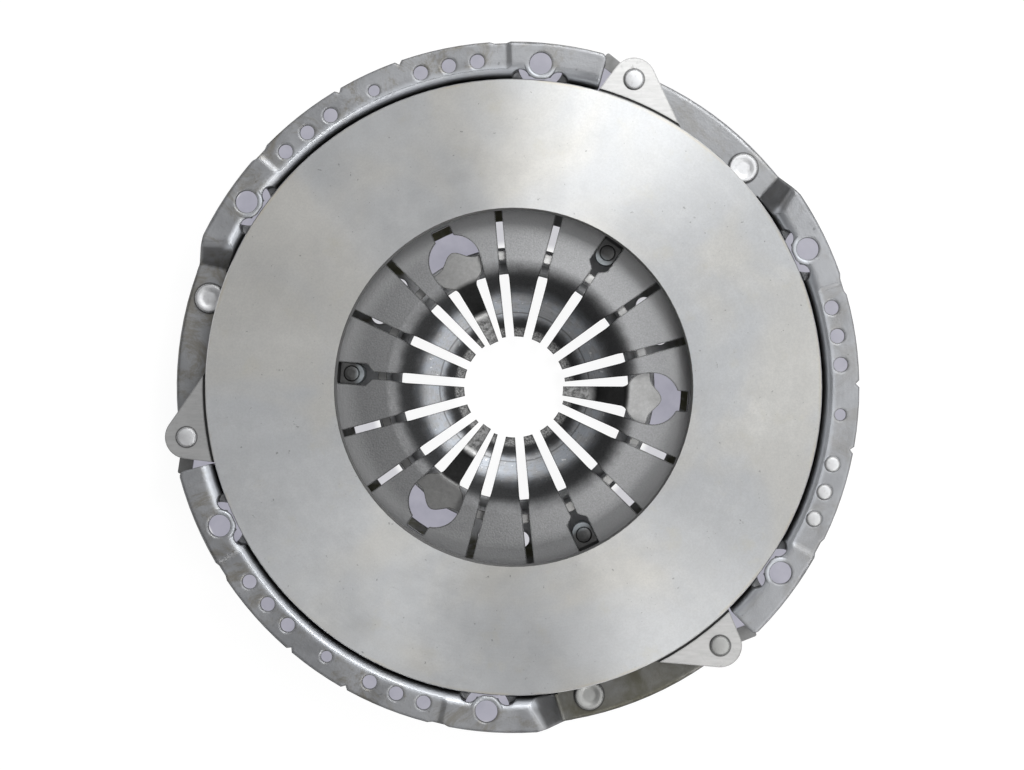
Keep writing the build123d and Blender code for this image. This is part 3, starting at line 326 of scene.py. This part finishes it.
def pressed_steel():
    """Cover: pressed sheet, thinly oiled, with die marks, faint stains, a painted highlight on the bends,
    and painted shade on slopes, tilted faces and sharp edges.
    """
    material, tree, place = shader("pressed_steel")
    rings, radius, height = polar(tree, place, 8.0, 500.0)
    cloud = noise(tree, place, 30.0, 5.0, 0.6, distortion=0.6)
    marks = noise(tree, rings, 1.0, 4.0, 0.6)
    grain = noise(tree, place, 700.0, 3.0, 0.6)
    mottle = noise(tree, place, 180.0, 4.0, 0.7)
    stain = step(tree, noise(tree, place, 26.0, 8.0, 0.78, distortion=1.2), 0.47, 0.62)
    dents = step(tree, noise(tree, place, 240.0, 1.0, 0.5), 0.74, 0.80)
    colour = blend_colour(tree, cloud, grey(0.25, 0.07), grey(0.40, 0.07))
    colour = blend_colour(tree, times(tree, marks, 0.3), colour, grey(0.50, 0.06))
    colour = blend_colour(tree, times(tree, mottle, 0.35), colour, grey(0.20, 0.05))
    # stains grow stronger towards the left (-X)
    towards_left = step(tree, part_of(tree, place, "X"), 0.12, -0.10, 0.25, 0.60)
    oily = times(tree, times(tree, stain, towards_left), upward(tree, -0.2, 0.6))
    colour = blend_colour(tree, oily, colour, OIL_STAIN)
    colour = blend_colour(tree, times(tree, dents, 0.4), colour, grey(0.1))

    # strap seats: a dark olive film, stronger towards the bottom (-Y), and painted shade round the rivet
    # heads where they meet the seat
    on_seat = times(tree, step(tree, radius, COVER_WALL_R - 0.006, COVER_WALL_R - 0.004),
                    step(tree, height, STRAP_SEAT_Z + 0.0020, STRAP_SEAT_Z + 0.0008))
    # darker towards the bottom (-Y)
    towards_bottom = step(tree, part_of(tree, place, "Y"), -0.08, -0.18, 0.10, 1.0)
    film = times(tree, times(tree, on_seat, towards_bottom), step(tree, cloud, 0.30, 0.60, 0.55, 0.95))
    colour = blend_colour(tree, film, colour, DARK_OLIVE)
    # painted shade round the rivet heads where they meet the seat
    rivet_contact_shade = step(tree, off_rivets(tree, place, STRAP_SEAT_R, STRAP_SEAT_ANGLE),
                 SEAT_HEAD_R + 0.0014, SEAT_HEAD_R + 0.0003, 0.0, 0.85)
    colour = blend_colour(tree, times(tree, rivet_contact_shade, on_seat), colour, grey(0.06))

    # inside: old oil on the walls, cleaner steel near the middle
    inside = times(tree, step(tree, radius, COVER_WALL_R - 0.006, COVER_WALL_R - 0.010),
                   upward(tree, 0.05, 0.35))
    olive = blend_colour(tree, step(tree, cloud, 0.45, 0.60), grey(0.34), OLD_OIL)
    olive = blend_colour(tree, times(tree, mottle, 0.5), olive, grey(0.12))
    back = blend_colour(tree, mottle, grey(0.42, 0.04), grey(0.66, 0.04))
    olive = blend_colour(tree, step(tree, radius, OLIVE_FROM_R + 0.003, OLIVE_FROM_R - 0.003), olive, back)
    colour = blend_colour(tree, inside, colour, olive)

    # painted highlight on the bends; painted shade on slopes, on slightly tilted faces and along sharp edges
    on_bend = times(tree, step(tree, radius, COVER_WALL_R - 0.002, COVER_WALL_R + 0.001),
                    step(tree, radius, COVER_WALL_R + 0.0095, COVER_WALL_R + 0.0045))
    on_bend = times(tree, on_bend, step(tree, height, -0.007, -0.003))
    # painted highlight: a bluish bright band on the bend from the flange down into the wall
    colour = blend_colour(tree, times(tree, on_bend, 0.55), colour, BEND_HIGHLIGHT)
    flat_top = upward(tree, 0.62, 0.90)
    slopes = times(tree, rest_of(tree, flat_top), rest_of(tree, on_bend))
    # painted shade: faces that do not face the flywheel are darkened
    colour = blend_colour(tree, times(tree, slopes, 0.55), colour, grey(0.12))
    # painted shade: faces tilted a little from the flywheel side, out on the flange, are darkened
    tilted = math(tree, "SUBTRACT", upward(tree, 0.940, 0.965), upward(tree, 0.982, 0.992))
    tilted = times(tree, tilted, step(tree, radius, COVER_WALL_R + 0.0085, COVER_WALL_R + 0.0105))
    colour = blend_colour(tree, times(tree, tilted, 0.25), colour, grey(0.13))
    # painted shade: dark outlines along sharp edges
    colour = blend_colour(tree, times(tree, edge_shade_mask(tree, 0.0008), 0.75), colour, grey(0.05, 0.06))
    rough = step(tree, cloud, 0.25, 0.75, 0.34, 0.50)
    rough = math(tree, "MULTIPLY_ADD", inside, 0.14, rough)
    relief = math(tree, "ADD", times(tree, marks, 0.4),
                  math(tree, "ADD", grain, times(tree, mottle, 0.8)))
    metallic = math(tree, "MULTIPLY_ADD", inside, -0.5, 1.0)
    metal(tree, colour, rough, bumped(tree, relief, 0.16, 0.0005, softened=0.003), metallic=metallic)
    return material


def peened_spring_steel():
    """Diaphragm: shot-peened cone lightened by painted light towards the plate's bore, painted shade on the
    steep bend and fall, and fingers polished where the bearing and the tools ran.
    """
    material, tree, place = shader("peened_spring_steel")
    rings, radius = polar(tree, place, 5.0, 700.0)[:2]
    dimples = node(tree, "TexVoronoi", {"Vector": place, "Scale": 700.0}).outputs["Distance"]
    grain = noise(tree, place, 900.0, 3.0, 0.7)
    cloud = noise(tree, place, 40.0, 4.0, 0.6)
    patches = step(tree, noise(tree, place, 150.0, 3.0, 0.6), 0.4, 0.62)
    marks = noise(tree, rings, 1.0, 4.0, 0.6)
    cone = blend_colour(tree, grain, grey(0.20, 0.03), grey(0.48, 0.03))
    cone = blend_colour(tree, times(tree, cloud, 0.25), cone, grey(0.26, 0.04))
    # painted light: the cone is lightened out towards the plate's bore, where the plate shades it
    cone = blend_colour(tree, step(tree, radius, 0.106, FACE_BORE_R, 0.0, 0.45), cone, grey(0.85, 0.02))
    # painted shade for the steep bend and the fall to the tips
    steep_shade = blend_colour(tree, grain, grey(0.03), grey(0.09, 0.06))
    wear_and_highlight = blend_colour(tree, marks, grey(0.20, 0.05), grey(0.38, 0.05))
    wear_and_highlight = blend_colour(tree, times(tree, patches, 0.40), wear_and_highlight, RUBBED_BLUE)
    scratches = step(tree, noise(tree, polar(tree, place, 30.0, 1400.0)[0], 1.0, 2.0, 0.5), 0.62, 0.72)
    wear_and_highlight = blend_colour(tree, times(tree, scratches, 0.65), wear_and_highlight, grey(0.10))
    glints = step(tree, noise(tree, place, 420.0, 2.0, 0.5), 0.66, 0.76)
    wear_and_highlight = blend_colour(tree, times(tree, glints, 0.5), wear_and_highlight, grey(0.85))
    tip = blend_colour(tree, step(tree, grain, 0.3, 0.7), grey(0.06), grey(0.34))
    wander = math(tree, "MULTIPLY_ADD", noise(tree, place, 90.0, 3.0, 0.6), 0.006, radius)

    # zones from the cone in to the tips
    past_bend = step(tree, wander, BEND_OUTER_R + 0.010, BEND_OUTER_R - 0.006)
    on_rub = step(tree, wander, FINGER_STEP_R + 0.010, FINGER_STEP_R - 0.004)
    on_fall = step(tree, wander, FINGER_FALL_R + 0.007, FINGER_FALL_R - 0.001)
    on_tip = step(tree, radius, TIP_FLAT_R + 0.0022, TIP_FLAT_R)
    colour = blend_colour(tree, past_bend, cone, steep_shade)
    colour = blend_colour(tree, on_rub, colour, wear_and_highlight)
    colour = blend_colour(tree, on_fall, colour, steep_shade)
    colour = blend_colour(tree, on_tip, colour, tip)
    off_line = math(tree, "ABSOLUTE", math(tree, "SUBTRACT", radius, WEAR_LINE_R))
    wear_line = step(tree, off_line, 0.0008, 0.0002, 0.0, 0.6)
    colour = blend_colour(tree, wear_line, colour, grey(0.07))
    # painted shade: dark outlines along the slot edges
    colour = blend_colour(tree, times(tree, edge_shade_mask(tree, 0.0014), 0.85), colour, grey(0.012))
    only_rub = math(tree, "SUBTRACT", on_rub, on_fall)
    rough = math(tree, "MULTIPLY_ADD", only_rub, -0.16, 0.62)
    relief = math(tree, "ADD", times(tree, dimples, 0.5), times(tree, grain, 0.5))
    depth = math(tree, "MULTIPLY_ADD", only_rub, -0.22, 0.32)
    metal(tree, colour, rough, bumped(tree, relief, depth, 0.0005))
    return material


def phosphated_strip():
    """Retaining spring: dull grey heads, painted shade on the steep sloping tongues, and mottled pads with a
    painted highlight where they bend up into the tongues.
    """
    material, tree, place = shader("phosphated_strip")
    radius = from_axis(tree, place)[0]
    mottle = noise(tree, place, 320.0, 4.0, 0.75)
    cloud = noise(tree, place, 60.0, 3.0, 0.6)
    head = blend_colour(tree, mottle, grey(0.20), grey(0.44))
    head = blend_colour(tree, times(tree, cloud, 0.4), head, grey(0.34, -0.03))
    # painted shade: the steep tongue between head and pad is painted very dark
    slope_shade = blend_colour(tree, mottle, grey(0.015), grey(0.05))
    pad = blend_colour(tree, step(tree, mottle, 0.35, 0.62), grey(0.10), grey(0.36))
    past_head = step(tree, radius, TONGUE_HEAD_R + 0.0035, TONGUE_HEAD_R - 0.001)
    on_pad = step(tree, radius, TONGUE_PAD_R + 0.0035, TONGUE_PAD_R - 0.001)
    # painted highlight on the bend where the pad meets the tongue
    pad_end = step(tree, radius, TONGUE_PAD_R - 0.0036, TONGUE_PAD_R - 0.0014, 0.0, 0.7)
    wear_and_highlight = times(tree, on_pad, pad_end)
    colour = blend_colour(tree, past_head, head, slope_shade)
    colour = blend_colour(tree, on_pad, colour, pad)
    colour = blend_colour(tree, wear_and_highlight, colour, grey(0.50))
    # painted shade: dark outlines along the edges
    colour = blend_colour(tree, times(tree, edge_shade_mask(tree, 0.0014), 0.85), colour, grey(0.02))
    rough = step(tree, cloud, 0.3, 0.7, 0.42, 0.56)
    metal(tree, colour, rough, bumped(tree, mottle, 0.16, 0.0004))
    return material


def bright_plate():
    """Rivets and washers: bright zinc, pressed smooth by the riveting die, with small dents."""
    material, tree, place = shader("bright_plate")
    cloud = noise(tree, place, 160.0, 4.0, 0.6)
    dents = noise(tree, place, 420.0, 2.0, 0.5)
    colour = blend_colour(tree, cloud, grey(0.52, 0.03), grey(0.74, 0.03))
    colour = blend_colour(tree, times(tree, step(tree, dents, 0.56, 0.70), 0.25), colour, grey(0.36))
    # darker towards the bottom (-Y)
    towards_bottom = step(tree, part_of(tree, place, "Y"), -0.02, -0.20, 0.0, 0.60)
    colour = blend_colour(tree, towards_bottom, colour, DARKER_RIVET)
    # painted shade: dark outlines along the edges of heads and washers
    colour = blend_colour(tree, times(tree, edge_shade_mask(tree, 0.0015), 0.85), colour, grey(0.10))
    normal = bumped(tree, dents, 0.10, 0.0005, softened=0.0022)
    metal(tree, colour, step(tree, cloud, 0.3, 0.7, 0.46, 0.56), normal)
    return material


def rolled_strip():
    """Drive straps: cold-rolled spring strip with lengthwise marks, dulled by oil."""
    material, tree, place = shader("rolled_strip")
    marks = noise(tree, place, 120.0, 4.0, 0.6, (1.0, 1.0, 12.0))
    spots = noise(tree, place, 300.0, 4.0, 0.7)
    colour = blend_colour(tree, marks, grey(0.22, 0.02), grey(0.38, 0.02))
    colour = blend_colour(tree, times(tree, spots, 0.5), colour, OILED_STRIP)
    metal(tree, colour, step(tree, marks, 0.3, 0.7, 0.34, 0.48), bumped(tree, spots, 0.1, 0.0003))
    return material


def oiled_keys():
    """Guide keys and their rivets: blue-grey steel, dark with oil out by the rivets."""
    material, tree, place = shader("oiled_keys")
    radius = from_axis(tree, place)[0]
    cloud = noise(tree, place, 220.0, 4.0, 0.7)
    clean = blend_colour(tree, cloud, *KEY_STEEL)
    oily = blend_colour(tree, cloud, grey(0.045), grey(0.13))
    colour = blend_colour(tree, step(tree, radius, KEY_CLEAN_R, KEY_CLEAN_R + 0.006), clean, oily)
    metal(tree, colour, step(tree, cloud, 0.3, 0.7, 0.36, 0.5), bumped(tree, cloud, 0.12, 0.0004))
    return material


def plain_steel():
    """Fulcrum ring: plain steel wire, slightly browned by oil."""
    material, tree, place = shader("plain_steel")
    cloud = noise(tree, place, 120.0, 4.0, 0.6)
    colour = blend_colour(tree, cloud, *WIRE_STEEL)
    metal(tree, colour, step(tree, cloud, 0.3, 0.7, 0.34, 0.5), bumped(tree, cloud, 0.1, 0.0004))
    return material


FINISHES = {
    "machined_iron": turned_iron,
    "pressed_steel": pressed_steel,
    "spring_steel": peened_spring_steel,
    "retainer_steel": phosphated_strip,
    "plated_rivet_steel": bright_plate,
    "strap_steel": rolled_strip,
    "wire_steel": plain_steel,
    "key_steel": oiled_keys,
}
finished = {}


def dress(piece, slot_name):
    """Gives a piece the finish of its slot."""
    finish = FINISHES[slot_name]
    if finish not in finished:
        finished[finish] = finish()
    piece.data.materials.clear()
    piece.data.materials.append(finished[finish])


# ---- Merged copies of the springs and the strap leaves

def flexing_copy(name, source_name, slot_name):
    """A merged copy of a solid, with smooth faces and sharp corners."""
    source = frame["nodes"][source_name]
    form = bmesh.new()
    form.from_mesh(source.data)
    bmesh.ops.remove_doubles(form, verts=form.verts, dist=MERGE)
    for edge in form.edges:
        edge.smooth = edge.is_manifold and edge.calc_face_angle(0.0) < radians(28)
    for face in form.faces:
        face.smooth = True
    mesh = bpy.data.meshes.new(name)
    form.to_mesh(mesh)
    form.free()
    piece = bpy.data.objects.new(name, mesh)
    bpy.context.scene.collection.objects.link(piece)
    even = piece.modifiers.new("even_normals", "WEIGHTED_NORMAL")
    even.keep_sharp = True
    dress(piece, slot_name)
    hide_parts(source_name)
    return piece


def spring_pieces():
    """Merged copies of the two springs, which in the real clutch tilt from the fulcrum ring upwards as the
    plate moves.
    """
    for name, source_name, slot_name in (
            ("diaphragm", "diaphragm_spring", "spring_steel"),
            ("bearing_retainer", "bearing_retaining_spring", "retainer_steel")):
        piece = flexing_copy(name, source_name, slot_name)
        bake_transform(piece)


def strap_pieces():
    """Merged copies of the strap leaves; each real leaf bends between its flat ends."""
    for letter, middle in zip("abc", SEGMENT_MIDDLES):
        for number in range(1, 5):
            leaf = flexing_copy(f"strap_{letter}_leaf_{number}", f"drive_strap_{letter}_leaf_{number}",
                                "strap_steel")
            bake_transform(leaf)


# ---- Stage

def in_thirds(tree, heading, width):
    """1 within some degrees of the middle of each raised segment, fading out over as much again."""
    middle = on_circle(1.0, SEGMENT_MIDDLES[0])
    near = node(tree, "VectorMath", {0: heading, 1: middle}, operation="DOT_PRODUCT").outputs["Value"]
    cube = math(tree, "POWER", near, 3.0)
    threefold = math(tree, "SUBTRACT", times(tree, cube, 4.0), times(tree, near, 3.0))
    return step(tree, threefold, cos(radians(width * 6)), cos(radians(width * 3)))


def paper():
    """White paper, with a painted lilac-grey shadow where it is seen through the part's windows and bolt
    holes.
    """
    material, tree, place = shader("paper")
    radius, heading = from_axis(tree, place)[:2]
    under_windows = times(tree, in_thirds(tree, heading, WINDOW_HALF_ANGLE),
                          step(tree, radius, UNDER_WINDOWS_R[0], UNDER_WINDOWS_R[0] + 0.006))
    under_windows = times(tree, under_windows,
                          step(tree, radius, UNDER_WINDOWS_R[1], UNDER_WINDOWS_R[1] - 0.006))
    under_flange = times(tree, step(tree, radius, *UNDER_COVER_R),
                         step(tree, radius, *UNDER_FLANGE_R))
    under_vents = times(tree, step(tree, radius, UNDER_VENTS_R[0], UNDER_VENTS_R[0] + 0.006, 0.0, 0.55),
                        step(tree, radius, UNDER_VENTS_R[1], UNDER_VENTS_R[1] - 0.004))
    under = math(tree, "MAXIMUM", math(tree, "MAXIMUM", under_windows, under_vents), under_flange)
    soft = noise(tree, place, 60.0, 3.0, 0.6)
    # painted shadow: lilac-grey under the windows, vents and flange
    shade = blend_colour(tree, soft, *LILAC_SHADOW)
    colour = blend_colour(tree, under, WHITE, shade)
    light_path = node(tree, "LightPath")
    seen = math(tree, "MAXIMUM", light_path.outputs["Is Camera Ray"],
                math(tree, "MAXIMUM", light_path.outputs["Is Glossy Ray"],
                     light_path.outputs["Is Transmission Ray"]))
    matt = node(tree, "BsdfDiffuse", {"Color": (0.72, 0.72, 0.73, 1.0)}).outputs[0]
    shadow_part = node(tree, "BsdfDiffuse", {"Color": (0.12, 0.12, 0.12, 1.0)}).outputs[0]
    glow = node(tree, "Emission", {"Color": colour, "Strength": 0.93}).outputs[0]
    white = node(tree, "AddShader", {0: shadow_part, 1: glow}).outputs[0]
    surface = node(tree, "MixShader", {0: seen, 1: matt, 2: white}).outputs[0]
    node(tree, "OutputMaterial", {"Surface": surface})
    return material


def floor():
    form = bmesh.new()
    bmesh.ops.create_grid(form, x_segments=1, y_segments=1, size=6.0)
    bmesh.ops.translate(form, verts=form.verts, vec=(0, 0, cad_box[0].z - 0.0002))
    mesh = bpy.data.meshes.new("floor")
    form.to_mesh(mesh)
    form.free()
    piece = bpy.data.objects.new("floor", mesh)
    bpy.context.scene.collection.objects.link(piece)
    piece.data.materials.append(paper())


def softbox(name, place, aim, size, power, colour=(1.0, 1.0, 1.0)):
    lamp = bpy.data.lights.new(name, "AREA")
    lamp.shape = "RECTANGLE"
    lamp.size, lamp.size_y = size
    lamp.energy = power
    lamp.color = colour
    holder = bpy.data.objects.new(name, lamp)
    holder.location = place
    holder.rotation_euler = (Vector(aim) - Vector(place)).to_track_quat("-Z", "Y").to_euler()
    bpy.context.scene.collection.objects.link(holder)


def studio():
    softbox("key", (0.42, 0.98, 1.45), (0.05, 0.1, 0), (0.7, 0.6), 14.0, (1.0, 1.0, 0.99))
    softbox("overhead", (1.15, 0.05, 2.1), (0.1, 0, 0), (1.3, 1.3), 8.5, (0.98, 0.99, 1.0))
    softbox("side", (0.68, -1.02, 1.45), (0.05, -0.1, 0), (0.6, 0.5), 8.5, (1.0, 0.99, 0.97))
    world = bpy.data.worlds.new("studio")
    world.use_nodes = True
    tree = world.node_tree
    tree.nodes.clear()
    direction = node(tree, "TexCoord").outputs["Generated"]
    lit_side = node(tree, "VectorMath", {0: direction, 1: (0.6, 0.35, 0.5)}, operation="DOT_PRODUCT")
    level = step(tree, lit_side.outputs["Value"], -0.5, 0.9, 0.10, 0.56)
    rise = node(tree, "SeparateXYZ", {"Vector": direction}).outputs["Z"]
    low_wall = times(tree, step(tree, rise, -0.05, 0.0, 0.0, 1.0), step(tree, rise, 0.45, 0.15))
    level = math(tree, "MULTIPLY_ADD", low_wall, 0.9, level)
    camera_ray = node(tree, "LightPath").outputs["Is Camera Ray"]
    strength = node(tree, "Mix", {"Factor": camera_ray, 2: level, 3: 1.0}, data_type="FLOAT").outputs[0]
    background = node(tree, "Background", {"Color": WHITE, "Strength": strength})
    node(tree, "OutputWorld", {"Surface": background.outputs[0]})
    bpy.context.scene.world = world


def camera():
    """Straight above, moved a little off the axis, with the frame shifted back over it."""
    lens = bpy.data.cameras.new("camera")
    width = PICTURE_WIDTH * MM_PER_PIXEL / 1000
    lens.sensor_width = SENSOR
    lens.lens = SENSOR * CAMERA_DISTANCE / width
    holder = bpy.data.objects.new("camera", lens)
    holder.location = (CAMERA_OFFSET[0], CAMERA_OFFSET[1], FACE_Z + CAMERA_DISTANCE)
    axis_x = (AXIS_PIXEL[0] - PICTURE_WIDTH / 2) * MM_PER_PIXEL / 1000
    axis_y = (PICTURE_HEIGHT / 2 - AXIS_PIXEL[1]) * MM_PER_PIXEL / 1000
    lens.shift_x = (-axis_x - CAMERA_OFFSET[0]) / width
    lens.shift_y = (-axis_y - CAMERA_OFFSET[1]) / width
    bpy.context.scene.collection.objects.link(holder)
    bpy.context.scene.camera = holder


for record_part in frame["record"]["subparts"]:
    dress(frame["nodes"][record_part["node"]], record_part["material_slot"])
spring_pieces()
strap_pieces()
floor()
studio()
camera()
bpy.context.scene.view_settings.view_transform = "Standard"
